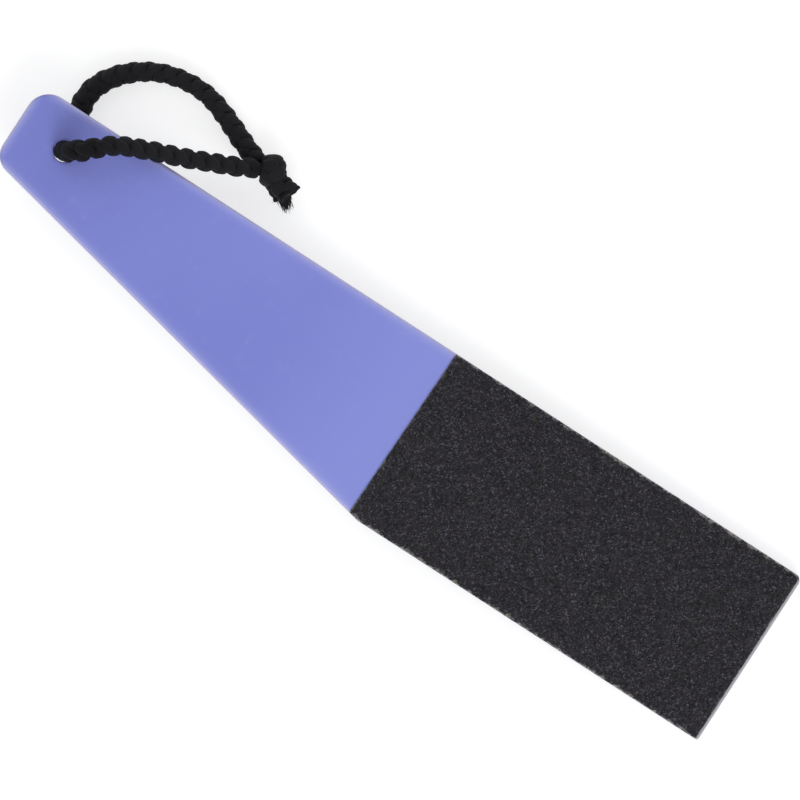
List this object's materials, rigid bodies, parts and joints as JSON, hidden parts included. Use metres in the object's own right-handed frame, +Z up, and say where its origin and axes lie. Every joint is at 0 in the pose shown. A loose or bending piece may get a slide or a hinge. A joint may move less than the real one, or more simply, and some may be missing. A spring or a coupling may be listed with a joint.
{
  "type": "foot file",
  "caption": "Flat plastic foot file: a tapered handle, a straight blade faced with abrasive sheets, and a plaited hanging cord knotted through a hole in the handle.",
  "frame": {"origin": "centre of the bounding box of the paddle without its cord, on the surface that it lies on", "axes": "+X along the paddle toward its abrasive tip, +Y toward its long straight edge, +Z up from the surface; the coarse face is up"},
  "size_m": [0.2388, 0.0753, 0.0259],
  "materials": {
    "paddle_plastic": "periwinkle moulded plastic, satin",
    "sheet_glue": "pressure-sensitive glue film",
    "backing_paper": "heavy grey-brown backing paper",
    "coarse_abrasive": "coarse charcoal-black grit bonded in resin",
    "fine_abrasive": "fine charcoal-grey grit bonded in resin",
    "black_cord": "plaited black polyester cord"
  },
  "bodies": {
    "paddle": {"board": "paddle_plastic", "coarse_glue": "sheet_glue", "coarse_paper": "backing_paper", "coarse_grit": "coarse_abrasive", "fine_glue": "sheet_glue", "fine_paper": "backing_paper", "fine_grit": "fine_abrasive"},
    "cord": {"cord_front_run": "black_cord", "cord_rear_run": "black_cord", "cord_knot": "black_cord", "cord_ends": "black_cord"}
  },
  "joints": [
    {"name": "cord_swing", "type": "hinge", "parent": "paddle", "child": "cord", "pos_m": [-0.10497, 0.0141, 0.013], "axis": [0.0487, 0, 0.9988], "range_deg": [-2, 275]}
  ]
}
